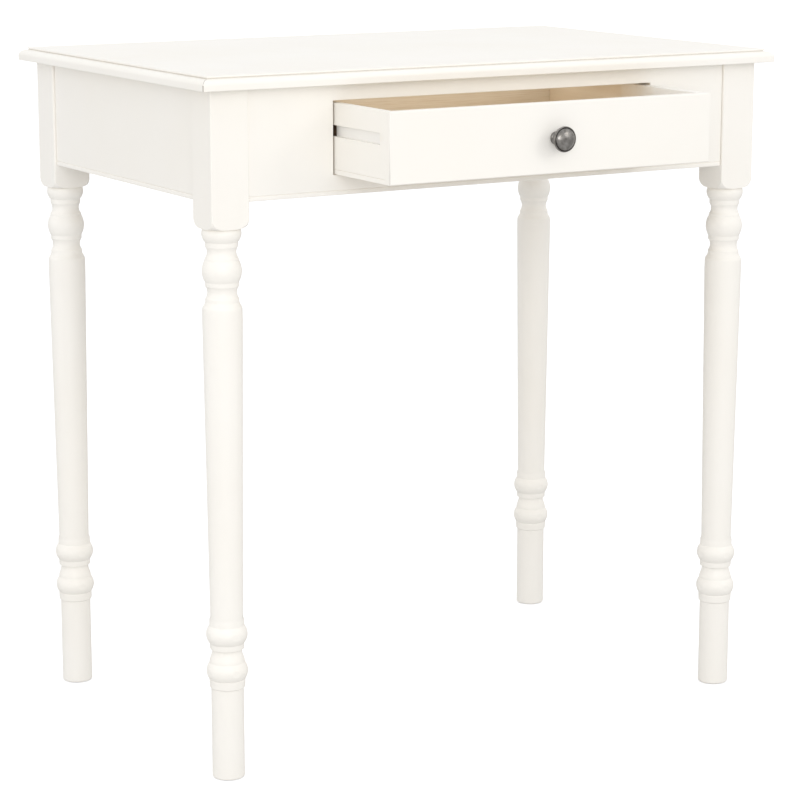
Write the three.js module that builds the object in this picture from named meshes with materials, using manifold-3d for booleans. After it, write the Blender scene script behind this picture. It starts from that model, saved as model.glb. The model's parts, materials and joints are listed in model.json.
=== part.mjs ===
// Writing desk with one inset drawer, turned legs and a moulded worktop.
// Millimetres, +Z up, the front faces -Y. The origin is on the floor, under the middle of the
// object's box with the drawer standing open.
import * as THREE from "three";
import { mergeVertices } from "three/addons/utils/BufferGeometryUtils.js";
import Module from "manifold-3d";

const wasm = await Module();
wasm.setup();

// ---------------------------------------------------------------- driving dimensions
const HEIGHT = 762;
const WIDTH = 734;
const DEPTH = 476;
const TOP_THICKNESS = 15;
const EDGE_WIDTH = 8.5; // edge moulding round the core panel
const OVERHANG = 16; // worktop past the leg posts
const POST = 44; // square stock of the legs
const APRON_HEIGHT = 118;
const APRON_THICKNESS = 20;
const APRON_RECESS = 3; // apron face behind the post face
const OPENING = { width: 410, height: 78.2, above_foot: 22 };
const DRAWER_PULL = 114; // how far the drawer stands open
const DRAWER_LENGTH = 309;
const DRAWER_GAP = 1.5; // clearance at each end of the drawer front
const FRONT_THICKNESS = 10;
const SIDE_THICKNESS = 9;
const BOTTOM_THICKNESS = 5;
const GROOVE = { depth: 4.5, height: 11.8, setback: 20.5, above_opening: 40.5 };
const RUNNER_HEIGHT = 11;
const GUIDE_THICKNESS = 15;
const STOP_TRAVEL = 104; // further travel from the open rest place to the stop bar
const KNOB_PROJECTION = 23;
const GLIDE = { radius: 14, thickness: 2 };
const BOLT_RADIUS = 3;
const BOLT_HEIGHT = 688;
const CLEARANCE = 0.3; // left round every turned or cut fit
const STOP_GAP = 0.5; // left where a stop would touch
const CUT = 1; // how far a cutter runs past the face it opens
const ROUND_SIDES = 16;
const SMALL_SIDES = 10;

// ---------------------------------------------------------------- derived places
const frameTop = HEIGHT - TOP_THICKNESS;
const legX = WIDTH / 2 - OVERHANG - POST / 2;
const legY = DEPTH / 2 - OVERHANG - POST / 2;
const apronFoot = frameTop - APRON_HEIGHT;
const apronFace = POST / 2 - APRON_RECESS; // apron's outer face, out from the leg axis
const apronBack = apronFace - APRON_THICKNESS; // its inner face, from the same axis
const openingFoot = apronFoot + OPENING.above_foot;
const openingHead = openingFoot + OPENING.height;
const openingSide = OPENING.width / 2;
const caseFront = -legY - apronBack; // inner face of the front apron
const caseBack = legY + apronBack;
const runnerMiddle = openingFoot + GROOVE.above_opening + GROOVE.height / 2;

// ---------------------------------------------------------------- materials
const paint = new THREE.MeshStandardMaterial({ color: "#f5f2ea", roughness: 0.42, metalness: 0 });
const rawWood = new THREE.MeshStandardMaterial({ color: "#cdb08a", roughness: 0.7, metalness: 0 });
const pewter = new THREE.MeshStandardMaterial({ color: "#6f6b64", roughness: 0.35, metalness: 1 });
const steel = new THREE.MeshStandardMaterial({ color: "#b9babd", roughness: 0.3, metalness: 1 });
const nylon = new THREE.MeshStandardMaterial({ color: "#e6e2d8", roughness: 0.6, metalness: 0 });

// ---------------------------------------------------------------- solids and meshes
// A closed geometry as a manifold-3d solid.
function toSolid(geometry) {
  const bare = geometry.clone();
  bare.deleteAttribute("normal");
  bare.deleteAttribute("uv");
  const merged = mergeVertices(bare, 1e-4);
  return new wasm.Manifold(
    new wasm.Mesh({
      numProp: 3,
      vertProperties: merged.attributes.position.array,
      triVerts: new Uint32Array(merged.index.array),
    }),
  );
}

// A manifold-3d solid as a geometry.
function toGeometry(solid) {
  const mesh = solid.getMesh();
  const geometry = new THREE.BufferGeometry();
  geometry.setAttribute("position", new THREE.BufferAttribute(mesh.vertProperties, 3));
  geometry.setIndex(new THREE.BufferAttribute(mesh.triVerts, 1));
  geometry.computeVertexNormals();
  return geometry;
}

// The base geometry with every cutter taken away.
function carve(base, cutters) {
  let solid = toSolid(base);
  for (const cutter of cutters) solid = solid.subtract(toSolid(cutter));
  return toGeometry(solid);
}

// A box geometry between two limits on each axis.
function block([x0, x1], [y0, y1], [z0, z1]) {
  const box = new THREE.BoxGeometry(x1 - x0, y1 - y0, z1 - z0);
  return box.translate((x0 + x1) / 2, (y0 + y1) / 2, (z0 + z1) / 2);
}

// A turned solid about Z from [radius, height] pairs, lowest first; it is closed on the axis.
function turned(profile, sides) {
  const outline = [[0, profile[0][1]], ...profile, [0, profile[profile.length - 1][1]]];
  const points = outline.map(([radius, height]) => new THREE.Vector2(radius, height));
  return new THREE.LatheGeometry(points, sides).rotateX(Math.PI / 2);
}

function rod(radius, z0, z1, sides = SMALL_SIDES) {
  return turned([[radius, z0], [radius, z1]], sides);
}

// An upright prism over a plan outline of [x, y] pairs.
function prism(outline, z0, z1) {
  const shape = new THREE.Shape(outline.map(([x, y]) => new THREE.Vector2(x, y)));
  const depth = z1 - z0;
  return new THREE.ExtrudeGeometry(shape, { depth, bevelEnabled: false }).translate(0, 0, z0);
}

function add(parent, name, geometry, material) {
  const mesh = new THREE.Mesh(geometry, material);
  mesh.name = name;
  parent.add(mesh);
  return mesh;
}

// The four corners of the desk: each is the front left one turned by quarter turns.
const CORNERS = [
  { name: "front_left", x: -legX, y: -legY, turns: 0 },
  { name: "front_right", x: legX, y: -legY, turns: 1 },
  { name: "back_right", x: legX, y: legY, turns: 2 },
  { name: "back_left", x: -legX, y: legY, turns: 3 },
];

// A part made along Z laid along the front left corner's inward diagonal, at the bolt's height.
function diagonal(geometry) {
  return geometry.rotateY(Math.PI / 2).rotateZ(Math.PI / 4).translate(0, 0, BOLT_HEIGHT);
}

function cornerGroup(parent, corner) {
  const group = new THREE.Group();
  group.position.set(corner.x, corner.y, 0);
  group.rotation.z = (corner.turns * Math.PI) / 2;
  parent.add(group);
  return group;
}

// ---------------------------------------------------------------- worktop
const CLEAT = { width: 20, height: 20, length: 220, screw_y: 80 };
const CLEAT_SCREW = { radius: 2.2, into_top: 10, head_radius: 4.5, head: 3 };

function cleatScrewPlaces() {
  const x = legX + apronBack - CLEAT.width / 2;
  return [-1, 1].flatMap((side) => [-1, 1].map((end) => [side * x, end * CLEAT.screw_y]));
}

function addTopPanel(parent) {
  const halfX = WIDTH / 2 - EDGE_WIDTH;
  const halfY = DEPTH / 2 - EDGE_WIDTH;
  const panel = block([-halfX, halfX], [-halfY, halfY], [frameTop, HEIGHT]);
  const radius = CLEAT_SCREW.radius + CLEARANCE;
  const pilots = cleatScrewPlaces().map(([x, y]) =>
    rod(radius, frameTop - CUT, frameTop + CLEAT_SCREW.into_top + CLEARANCE).translate(x, y, 0),
  );
  add(parent, "top_panel", carve(panel, pilots), paint);
}

// Edge section from the core panel outwards, as [distance out, height]: an upright edge that rounds
// over to meet the panel a small step below its top.
const EDGE_UPRIGHT = 6;
const EDGE_STEP = 2.8;
const EDGE_CHAMFER = 0.8;
const ROUND_STEPS = 6;

function edgeSection() {
  const points = [[0, 0], [EDGE_WIDTH - EDGE_CHAMFER, 0], [EDGE_WIDTH, EDGE_CHAMFER]];
  const rise = TOP_THICKNESS - EDGE_STEP - EDGE_UPRIGHT;
  for (let i = 0; i <= ROUND_STEPS; i += 1) {
    const angle = (i / ROUND_STEPS) * (Math.PI / 2);
    points.push([EDGE_WIDTH * Math.cos(angle), EDGE_UPRIGHT + rise * Math.sin(angle)]);
  }
  return points;
}

const MITRE_GAP = 0.15;

function edgeMoulding(length, reach) {
  const shape = new THREE.Shape(edgeSection().map(([out, up]) => new THREE.Vector2(out, up)));
  const bar = new THREE.ExtrudeGeometry(shape, { depth: length, bevelEnabled: false });
  bar.rotateX(Math.PI / 2).rotateZ(-Math.PI / 2);
  bar.translate(length / 2, -reach + EDGE_WIDTH, frameTop);
  const outer = length / 2 - MITRE_GAP;
  const inner = outer - EDGE_WIDTH;
  const plan = [
    [-outer, -reach],
    [outer, -reach],
    [inner, -reach + EDGE_WIDTH],
    [-inner, -reach + EDGE_WIDTH],
  ];
  const mitred = prism(plan, frameTop - CUT, HEIGHT + CUT);
  return toGeometry(toSolid(bar).intersect(toSolid(mitred)));
}

function addTopEdges(parent) {
  ["front", "right", "back", "left"].forEach((side, turns) => {
    const along = turns % 2 ? DEPTH : WIDTH;
    const across = turns % 2 ? WIDTH : DEPTH;
    const mesh = add(parent, `top_edge_${side}`, edgeMoulding(along, across / 2), paint);
    mesh.rotation.z = (turns * Math.PI) / 2;
  });
}

function addTopCleats(parent) {
  const outer = legX + apronBack;
  const half = CLEAT.length / 2;
  const top = frameTop;
  const radius = CLEAT_SCREW.radius;
  for (const [side, sign] of [["left", -1], ["right", 1]]) {
    const xs = [sign * outer, sign * (outer - CLEAT.width)].sort((a, b) => a - b);
    const strip = block(xs, [-half, half], [top - CLEAT.height, top]);
    const places = cleatScrewPlaces().filter(([x]) => Math.sign(x) === sign);
    const holes = places.map(([x, y]) =>
      rod(radius + CLEARANCE, top - CLEAT.height - CUT, top + CUT).translate(x, y, 0),
    );
    add(parent, `top_cleat_${side}`, carve(strip, holes), rawWood);
    places.forEach(([x, y], index) => {
      const under = top - CLEAT.height;
      const profile = [
        [CLEAT_SCREW.head_radius * 0.7, under - CLEAT_SCREW.head],
        [CLEAT_SCREW.head_radius, under - CLEAT_SCREW.head * 0.4],
        [CLEAT_SCREW.head_radius, under],
        [radius, under],
        [radius, top + CLEAT_SCREW.into_top],
      ];
      const name = `top_screw_${side}_${index + 1}`;
      add(parent, name, turned(profile, SMALL_SIDES), steel).position.set(x, y, 0);
    });
  }
}

// ---------------------------------------------------------------- legs
const TENON = { thickness: 8, length: 12, shoulder: 14 };
const BOLT_IN_LEG = 24; // from the post's inner corner

// Where the turning runs out into the square post.
const SHOULDER = { foot: 601.5, rise: 15, spread: 9.4, steps: 5 };
const SWELL_STEPS = 6;
const FLARE_STEPS = 4;
const FULLNESS = 0.8; // below 1, a swell is rounder than a sine wave
const postCorner = (POST / 2) * Math.SQRT2; // leg axis to the post's corner edge

// A bead, bulb or cove between two [radius, height] ends: a half sine wave that stands out from
// the line between them, or sinks into it where bulge is below zero.
function swell([r0, z0], bulge, [r1, z1]) {
  const points = [];
  for (let i = 0; i <= SWELL_STEPS; i += 1) {
    const t = i / SWELL_STEPS;
    const rise = bulge * Math.max(Math.sin(Math.PI * t), 0) ** FULLNESS;
    points.push([r0 + (r1 - r0) * t + rise, z0 + (z1 - z0) * t]);
  }
  return points;
}

// An S curve between two [radius, height] ends, upright at both.
function flare([r0, z0], [r1, z1]) {
  const points = [];
  for (let i = 0; i <= FLARE_STEPS; i += 1) {
    const t = i / FLARE_STEPS;
    points.push([r0 + ((r1 - r0) * (1 - Math.cos(Math.PI * t))) / 2, z0 + (z1 - z0) * t]);
  }
  return points;
}

// The quarter round that the lathe leaves on the post's corners, as [radius, height].
function shoulderProfile() {
  const points = [];
  for (let i = 0; i <= SHOULDER.steps; i += 1) {
    const angle = (i / SHOULDER.steps) * (Math.PI / 2);
    const height = SHOULDER.foot + SHOULDER.rise * (1 - Math.cos(angle));
    points.push([POST / 2 + SHOULDER.spread * Math.sin(angle), height]);
  }
  return points;
}

// The turned length of a leg, from the foot up into the square post, as [radius, height].
function legProfile() {
  return [
    [15.8, GLIDE.thickness],
    [17.6, GLIDE.thickness + 1.4],
    [17.6, 101.6],
    [19.2, 102.6],
    [19.5, 110.8],
    ...swell([19.1, 111.2], 3.2, [19.3, 129.8]),
    ...flare([19.1, 130.4], [16.1, 143.6]),
    [16.4, 145],
    [18.4, 145.4],
    [18.6, 151.2],
    ...swell([18.6, 151.6], 3.7, [18.8, 171.2]),
    [18.8, 177.6],
    [17.6, 181],
    [21.4, 505],
    [21.3, 514],
    ...flare([21.2, 516], [18, 524.2]),
    [17.9, 527.2],
    ...swell([17.4, 527.8], -1.7, [17.4, 539.6]),
    [17.9, 540.2],
    [18, 544.6],
    ...swell([18.1, 545], 3.1, [18, 567.6]),
    [17.8, 570],
    ...swell([17.4, 570.4], -1.7, [16.9, 581.4]),
    [17.2, 581.8],
    [17.5, 587.2],
    ...swell([18, 587.6], 2.2, [19.6, SHOULDER.foot]),
    ...shoulderProfile(),
    [postCorner + CUT, frameTop],
  ];
}

function addLegs(parent) {
  const stock = block([-POST / 2, POST / 2], [-POST / 2, POST / 2], [0, frameTop]);
  const body = toSolid(turned(legProfile(), ROUND_SIDES)).intersect(toSolid(stock));
  const half = TENON.thickness / 2 + CLEARANCE;
  const middle = -apronFace + APRON_THICKNESS / 2;
  const across = [middle - half, middle + half];
  const along = [POST / 2 - TENON.length - CLEARANCE, POST / 2 + CUT];
  const up = [apronFoot + TENON.shoulder - CLEARANCE, frameTop - TENON.shoulder + CLEARANCE];
  const boreStart = postCorner - BOLT_IN_LEG - CLEARANCE;
  const bore = diagonal(rod(BOLT_RADIUS + CLEARANCE, boreStart, postCorner + CUT));
  const cuts = [block(along, across, up), block(across, along, up), bore];
  const geometry = carve(toGeometry(body), cuts);
  for (const corner of CORNERS) {
    const group = cornerGroup(parent, corner);
    add(group, `leg_${corner.name}`, geometry, paint);
    add(group, `glide_${corner.name}`, rod(GLIDE.radius, 0, GLIDE.thickness, ROUND_SIDES), nylon);
  }
}

// ---------------------------------------------------------------- aprons and corner joints
// A board with a stub tenon at each end, centred on x, with its outer face towards -Y.
function apronBoard(halfLength) {
  const middle = APRON_THICKNESS / 2;
  const half = TENON.thickness / 2;
  const reach = halfLength + TENON.length;
  const up = [apronFoot + TENON.shoulder, frameTop - TENON.shoulder];
  const board = block([-halfLength, halfLength], [0, APRON_THICKNESS], [apronFoot, frameTop]);
  const tenons = block([-reach, reach], [middle - half, middle + half], up);
  return toGeometry(toSolid(board).add(toSolid(tenons)));
}

function addAprons(parent) {
  const through = [-CUT, APRON_THICKNESS + CUT];
  const mouth = block([-openingSide, openingSide], through, [openingFoot, openingHead]);
  const long = apronBoard(legX - POST / 2);
  const short = apronBoard(legY - POST / 2);
  const boards = [
    { name: "front_apron", geometry: carve(long, [mouth]), reach: legY, turns: 0 },
    { name: "right_apron", geometry: short, reach: legX, turns: 1 },
    { name: "back_apron", geometry: long, reach: legY, turns: 2 },
    { name: "left_apron", geometry: short, reach: legX, turns: 3 },
  ];
  for (const { name, geometry, reach, turns } of boards) {
    const group = new THREE.Group();
    group.rotation.z = (turns * Math.PI) / 2;
    parent.add(group);
    add(group, name, geometry, paint).position.y = -reach - apronFace;
  }
}

const BLOCK = { near: 48, far: 81, height: 76 }; // near and far: x + y on the block's two long faces
const WASHER = { radius: 8, thickness: 1.5 };
const NUT = { radius: 5.8, thickness: 5 };
const NUT_SIDES = 6;
const BOLT_TAIL = 4;

// A washer or nut about Z, with the bolt's hole through it.
function ring({ radius, thickness }, z0, sides) {
  const z1 = z0 + thickness;
  return carve(rod(radius, z0, z1, sides), [rod(BOLT_RADIUS + CLEARANCE, z0 - CUT, z1 + CUT)]);
}

function addCornerJoints(parent) {
  const inner = -apronBack;
  const outline = [
    [BLOCK.near - inner, inner],
    [BLOCK.far - inner, inner],
    [inner, BLOCK.far - inner],
    [inner, BLOCK.near - inner],
  ];
  const z0 = BOLT_HEIGHT - BLOCK.height / 2;
  const hole = BOLT_RADIUS + CLEARANCE;
  const nearFace = BLOCK.near / Math.SQRT2;
  const farFace = BLOCK.far / Math.SQRT2;
  const boltHole = diagonal(rod(hole, nearFace - CUT, farFace + CUT));
  const blockSolid = carve(prism(outline, z0, z0 + BLOCK.height), [boltHole]);
  const washerFace = farFace + CLEARANCE;
  const nutFace = washerFace + WASHER.thickness + CLEARANCE;
  const boltStart = postCorner - BOLT_IN_LEG;
  const boltEnd = nutFace + NUT.thickness + BOLT_TAIL;
  const washer = diagonal(ring(WASHER, washerFace, ROUND_SIDES));
  const nut = diagonal(ring(NUT, nutFace, NUT_SIDES));
  const bolt = diagonal(rod(BOLT_RADIUS, boltStart, boltEnd));
  for (const corner of CORNERS) {
    const group = cornerGroup(parent, corner);
    add(group, `corner_block_${corner.name}`, blockSolid, rawWood);
    add(group, `leg_bolt_${corner.name}`, bolt, steel);
    add(group, `leg_washer_${corner.name}`, washer, steel);
    add(group, `leg_nut_${corner.name}`, nut, steel);
  }
}

// ---------------------------------------------------------------- drawer support
const STOP_BAR = { height: 16, depth: 18 };
const GUIDE_DROP = 5; // guide below the drawer opening
const RUNNER_SETBACK = 1; // runner behind the apron's inner face
const RUNNER_SCREW = { radius: 1.6, length: 14, head_radius: 3.2, head: 2, inset: 60 };

function runnerScrewPlaces() {
  return [caseFront + RUNNER_SCREW.inset, caseBack - RUNNER_SCREW.inset];
}

// A countersunk screw along X, its head's face at x = 0 and its point towards +X.
function runnerScrew(gap) {
  const profile = [
    [RUNNER_SCREW.head_radius + gap, 0],
    [RUNNER_SCREW.radius + gap, RUNNER_SCREW.head],
    [RUNNER_SCREW.radius + gap, RUNNER_SCREW.length + gap],
  ];
  return turned(profile, SMALL_SIDES).rotateY(Math.PI / 2);
}

function addDrawerSupport(parent) {
  const guideTop = frameTop - STOP_BAR.height;
  const runnerFace = openingSide - DRAWER_GAP - GROOVE.depth + CLEARANCE;
  const halfRunner = RUNNER_HEIGHT / 2;
  const guideFoot = openingFoot - GUIDE_DROP;
  for (const [side, turn] of [["right", 0], ["left", Math.PI]]) {
    const group = new THREE.Group();
    group.rotation.z = turn;
    parent.add(group);
    const guide = block(
      [openingSide, openingSide + GUIDE_THICKNESS],
      [caseFront, caseBack],
      [guideFoot, guideTop],
    );
    // The left side is the right side turned round, so its front end is the other way.
    const start = turn ? -caseBack : caseFront + RUNNER_SETBACK;
    const end = turn ? -caseFront - RUNNER_SETBACK : caseBack;
    const runner = block(
      [runnerFace, openingSide],
      [start, end],
      [runnerMiddle - halfRunner, runnerMiddle + halfRunner],
    );
    const places = runnerScrewPlaces().map((y) => (turn ? -y : y));
    const sinks = places.map((y) => runnerScrew(CLEARANCE).translate(runnerFace, y, runnerMiddle));
    add(group, `drawer_guide_${side}`, carve(guide, sinks), rawWood);
    add(group, `drawer_runner_${side}`, carve(runner, sinks), rawWood);
    places.forEach((y, index) => {
      const screw = add(group, `runner_screw_${side}_${index + 1}`, runnerScrew(0), steel);
      screw.position.set(runnerFace + CLEARANCE, y, runnerMiddle);
    });
  }
  const rear = -legY - apronFace + DRAWER_LENGTH - DRAWER_PULL - STOP_TRAVEL - STOP_GAP;
  const span = openingSide + GUIDE_THICKNESS;
  add(
    parent,
    "drawer_stop_bar",
    block([-span, span], [rear - STOP_BAR.depth, rear], [guideTop, frameTop]),
    rawWood,
  );
}

// ---------------------------------------------------------------- drawer
const KNOB_SCREW = { radius: 2, head_radius: 4.4, head: 2.4, in_knob: 10 };
const STOP_BLOCK = { half_width: 30, depth: 12, foot: 45, rise: 12 };
const FRONT_GAP = { foot: 0.6, head: 2.2 }; // round the drawer front, in the opening
const SIDE_DROP = 0.2; // side below the top of the drawer front
const BACK_DROP = 3; // back below the top of the sides

function knobGeometry() {
  const profile = [
    [6.6, 0],
    [6.6, 1.6],
    [5, 2.6],
    [4.4, 5],
    [4.6, 9],
    [6.4, 12.2],
    [12.6, 14.6],
    [13.7, 15.8],
    [13.7, 18.2],
    [12.8, 19],
    [11.4, 20.4],
    [7.4, 22.3],
    [3, KNOB_PROJECTION],
  ];
  const blind = rod(KNOB_SCREW.radius + CLEARANCE, -CUT, KNOB_SCREW.in_knob + CLEARANCE);
  return carve(turned(profile, ROUND_SIDES), [blind]).rotateX(Math.PI / 2);
}

function addDrawer(parent) {
  const drawer = new THREE.Group();
  drawer.position.y = -DRAWER_PULL;
  parent.add(drawer);

  const face = -legY - apronFace; // flush with the apron when the drawer is shut
  const inside = face + FRONT_THICKNESS;
  const rear = face + DRAWER_LENGTH;
  const half = openingSide - DRAWER_GAP;
  const foot = openingFoot + FRONT_GAP.foot;
  const head = openingHead - FRONT_GAP.head;
  const boxFoot = foot + BOTTOM_THICKNESS;
  const boxHead = head - SIDE_DROP;
  const middle = (foot + head) / 2;

  const forward = (geometry) => geometry.rotateX(Math.PI / 2).translate(0, face, middle);
  const shank = rod(KNOB_SCREW.radius + CLEARANCE, -FRONT_THICKNESS - CUT, CUT);
  const board = block([-half, half], [face, inside], [foot, head]);
  add(drawer, "drawer_front", carve(board, [forward(shank)]), paint);

  const groove = block(
    [half - GROOVE.depth, half + CUT],
    [face + GROOVE.setback, rear + CUT],
    [runnerMiddle - GROOVE.height / 2, runnerMiddle + GROOVE.height / 2],
  );
  const sideBoard = block([half - SIDE_THICKNESS, half], [inside, rear], [boxFoot, boxHead]);
  const side = carve(sideBoard, [groove]);
  add(drawer, "drawer_side_right", side, paint);
  const mirrored = toGeometry(toSolid(side).mirror([1, 0, 0]));
  add(drawer, "drawer_side_left", mirrored, paint);

  const between = half - SIDE_THICKNESS;
  const backHead = boxHead - BACK_DROP;
  const back = block([-between, between], [rear - SIDE_THICKNESS, rear], [boxFoot, backHead]);
  add(drawer, "drawer_back", back, rawWood);
  add(drawer, "drawer_bottom", block([-half, half], [inside, rear], [foot, boxFoot]), rawWood);

  const { half_width: wide, depth, foot: low, rise } = STOP_BLOCK;
  const stop = block([-wide, wide], [rear, rear + depth], [foot + low, boxHead + rise]);
  add(drawer, "drawer_stop_block", stop, rawWood);

  add(drawer, "drawer_knob", knobGeometry(), pewter).position.set(0, face, middle);
  const screwProfile = [
    [KNOB_SCREW.head_radius * 0.7, -FRONT_THICKNESS - KNOB_SCREW.head],
    [KNOB_SCREW.head_radius, -FRONT_THICKNESS - KNOB_SCREW.head * 0.5],
    [KNOB_SCREW.head_radius, -FRONT_THICKNESS],
    [KNOB_SCREW.radius, -FRONT_THICKNESS],
    [KNOB_SCREW.radius, KNOB_SCREW.in_knob],
  ];
  add(drawer, "knob_screw", forward(turned(screwProfile, SMALL_SIDES)), steel);
}

// ---------------------------------------------------------------- the desk
const frame = new THREE.Group();
addTopPanel(frame);
addTopEdges(frame);
addTopCleats(frame);
addLegs(frame);
addAprons(frame);
addCornerJoints(frame);
addDrawerSupport(frame);
addDrawer(frame);

const desk = new THREE.Group();
const frontReach = legY + apronFace + DRAWER_PULL + KNOB_PROJECTION;
frame.position.y = (frontReach - DEPTH / 2) / 2;
desk.add(frame);

export default desk;
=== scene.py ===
"""Looks for the writing desk: every CAD node gets a finer piece and a node-based material.

Lengths in the tables and profiles are millimetres; Blender's own units are metres.
"""

import json
import math

import bmesh
import bpy
from mathutils import Matrix, Vector

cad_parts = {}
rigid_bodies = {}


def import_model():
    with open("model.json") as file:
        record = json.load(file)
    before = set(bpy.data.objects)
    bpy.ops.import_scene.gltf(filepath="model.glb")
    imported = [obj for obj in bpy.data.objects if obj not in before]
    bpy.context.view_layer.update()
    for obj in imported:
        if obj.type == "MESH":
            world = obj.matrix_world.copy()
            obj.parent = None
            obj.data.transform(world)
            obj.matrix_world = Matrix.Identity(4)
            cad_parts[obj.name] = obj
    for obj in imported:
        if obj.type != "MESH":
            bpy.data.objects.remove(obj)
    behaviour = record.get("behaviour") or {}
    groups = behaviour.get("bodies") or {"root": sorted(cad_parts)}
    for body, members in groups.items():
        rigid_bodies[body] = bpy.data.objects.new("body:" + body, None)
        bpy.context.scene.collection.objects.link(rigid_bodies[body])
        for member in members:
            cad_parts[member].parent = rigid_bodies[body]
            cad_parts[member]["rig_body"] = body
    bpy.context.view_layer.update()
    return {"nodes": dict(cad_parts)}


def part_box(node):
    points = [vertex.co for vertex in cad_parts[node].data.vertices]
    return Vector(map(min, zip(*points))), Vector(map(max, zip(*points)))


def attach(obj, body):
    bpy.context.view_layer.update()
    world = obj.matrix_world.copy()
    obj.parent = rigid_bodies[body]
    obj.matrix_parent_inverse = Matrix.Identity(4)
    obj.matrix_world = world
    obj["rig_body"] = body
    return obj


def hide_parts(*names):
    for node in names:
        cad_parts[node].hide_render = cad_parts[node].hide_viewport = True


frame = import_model()

MM = 0.001
SHARP = math.radians(30)  # edges sharper than this are eased
CREASE = SHARP + math.radians(5)  # edges sharper than this stay crisp in the shading
MERGE = 0.01  # points closer than this are one
FLAT = math.radians(1)  # faces that meet at less than this are one face
TURNED_SIDES = 96
SCREW_SIDES = 32


# ---------------------------------------------------------------- places taken from the CAD
def span(node):
    """A CAD node's lowest and highest corners in millimetres."""
    low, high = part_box(node)
    return low / MM, high / MM


def leg_axis(corner):
    """The middle of a corner's leg in millimetres."""
    low, high = span(f"leg_{corner}")
    return (low + high) / 2


POST = span("leg_front_left")[1].x - span("leg_front_left")[0].x
FRAME_TOP = span("top_panel")[0].z
MIDDLE_Y = (span("top_edge_front")[0].y + span("top_edge_back")[1].y) / 2
CORNERS = ("front_left", "front_right", "back_right", "back_left")


# ---------------------------------------------------------------- mesh tools
def new_piece(name, vertices, faces):
    """A mesh object from points in millimetres."""
    mesh = bpy.data.meshes.new(name)
    mesh.from_pydata([Vector(v) * MM for v in vertices], [], faces)
    mesh.update()
    piece = bpy.data.objects.new(name, mesh)
    bpy.context.scene.collection.objects.link(piece)
    return piece


def edit(piece, change):
    """Runs change on the piece's mesh as a bmesh."""
    body = bmesh.new()
    body.from_mesh(piece.data)
    change(body)
    body.to_mesh(piece.data)
    body.free()


def apply_modifiers(piece):
    bpy.context.view_layer.update()
    graph = bpy.context.evaluated_depsgraph_get()
    mesh = bpy.data.meshes.new_from_object(piece.evaluated_get(graph), depsgraph=graph)
    piece.modifiers.clear()
    piece.data = mesh


def combine(piece, other, operation="DIFFERENCE"):
    """A boolean of the piece with another mesh, which is used up."""
    modifier = piece.modifiers.new("combine", "BOOLEAN")
    modifier.operation = operation
    modifier.solver = "EXACT"
    modifier.object = other
    apply_modifiers(piece)
    bpy.data.objects.remove(other)
    return piece


def move(piece, matrix):
    piece.data.transform(matrix)
    return piece


def ease(piece, amount, pick=lambda middle: True, steps=3):
    """Rounds the outward edges whose middle point, in millimetres, passes pick."""

    def change(body):
        body.normal_update()
        edges = [
            edge
            for edge in body.edges
            if len(edge.link_faces) == 2
            and edge.calc_face_angle_signed() > SHARP
            and pick((edge.verts[0].co + edge.verts[1].co) / 2 / MM)
        ]
        bmesh.ops.bevel(
            body,
            geom=edges,
            offset=amount * MM,
            offset_type="OFFSET",
            segments=steps,
            profile=0.5,
            affect="EDGES",
            clamp_overlap=True,
        )

    edit(piece, change)
    return piece


def box(name, low, high):
    """A box between two corners."""
    xs, ys, zs = zip(low, high)
    vertices = [(x, y, z) for z in zs for y in ys for x in xs]
    faces = [(0, 2, 3, 1), (4, 5, 7, 6), (0, 1, 5, 4), (2, 6, 7, 3), (0, 4, 6, 2), (1, 3, 7, 5)]
    return new_piece(name, vertices, faces)


def ring_faces(rings, sides, closed):
    """Quads between neighbouring rings of points; closed joins the last ring to the first."""
    faces = []
    for row in range(rings if closed else rings - 1):
        here, above = row * sides, ((row + 1) % rings) * sides
        for i in range(sides):
            j = (i + 1) % sides
            faces.append((here + i, here + j, above + j, above + i))
    return faces


def turned(name, profile, sides=TURNED_SIDES, closed=False):
    """A solid turned about Z from [radius, height] pairs, lowest first.

    A closed profile is a section that goes round a hole, such as a washer's.
    """
    turns = [2 * math.pi * i / sides for i in range(sides)]
    vertices = [(r * math.cos(a), r * math.sin(a), z) for r, z in profile for a in turns]
    faces = ring_faces(len(profile), sides, closed)
    if not closed:
        top = (len(profile) - 1) * sides
        faces.append(tuple(reversed(range(sides))))
        faces.append(tuple(range(top, top + sides)))
    return new_piece(name, vertices, faces)


def arc(centre, radius, start, end, steps):
    """Points of an arc or part ellipse in a section; radius is [across, up], angles in degrees."""
    points = []
    for i in range(steps + 1):
        angle = math.radians(start + (end - start) * i / steps)
        across = centre[0] + radius[0] * math.cos(angle)
        points.append((across, centre[1] + radius[1] * math.sin(angle)))
    return points


def quarter_turns(turn):
    return Matrix.Rotation(turn * math.pi / 2, 4, "Z")


def board_from(node):
    """A clean copy of a CAD board: shared corners and whole flat faces, no triangles."""
    piece = bpy.data.objects.new(f"{node}_fine", frame["nodes"][node].data.copy())
    bpy.context.scene.collection.objects.link(piece)

    def change(body):
        bmesh.ops.remove_doubles(body, verts=body.verts, dist=MERGE * MM)
        bmesh.ops.dissolve_limit(
            body,
            angle_limit=FLAT,
            verts=body.verts,
            edges=body.edges,
            use_dissolve_boundaries=False,
        )

    edit(piece, change)
    return piece


def finish(piece, node, grain=None):
    """Shades the piece, gives it its material, and puts it in the CAD node's place.

    The grain runs along the axis given as 0, 1 or 2, or else along the longest one.
    """
    piece.data.shade_smooth()
    piece.data.set_sharp_from_angle(angle=CREASE)
    modifier = piece.modifiers.new("normals", "WEIGHTED_NORMAL")
    modifier.keep_sharp = True
    apply_modifiers(piece)
    slot = frame["nodes"][node].data.materials[0].name
    if grain is None:
        size = piece.dimensions
        grain = max(range(3), key=lambda i: size[i])
    piece.data.materials.clear()
    piece.data.materials.append(material_for(slot, grain))
    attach(piece, frame["nodes"][node]["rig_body"])
    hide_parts(node)
    return piece


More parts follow.
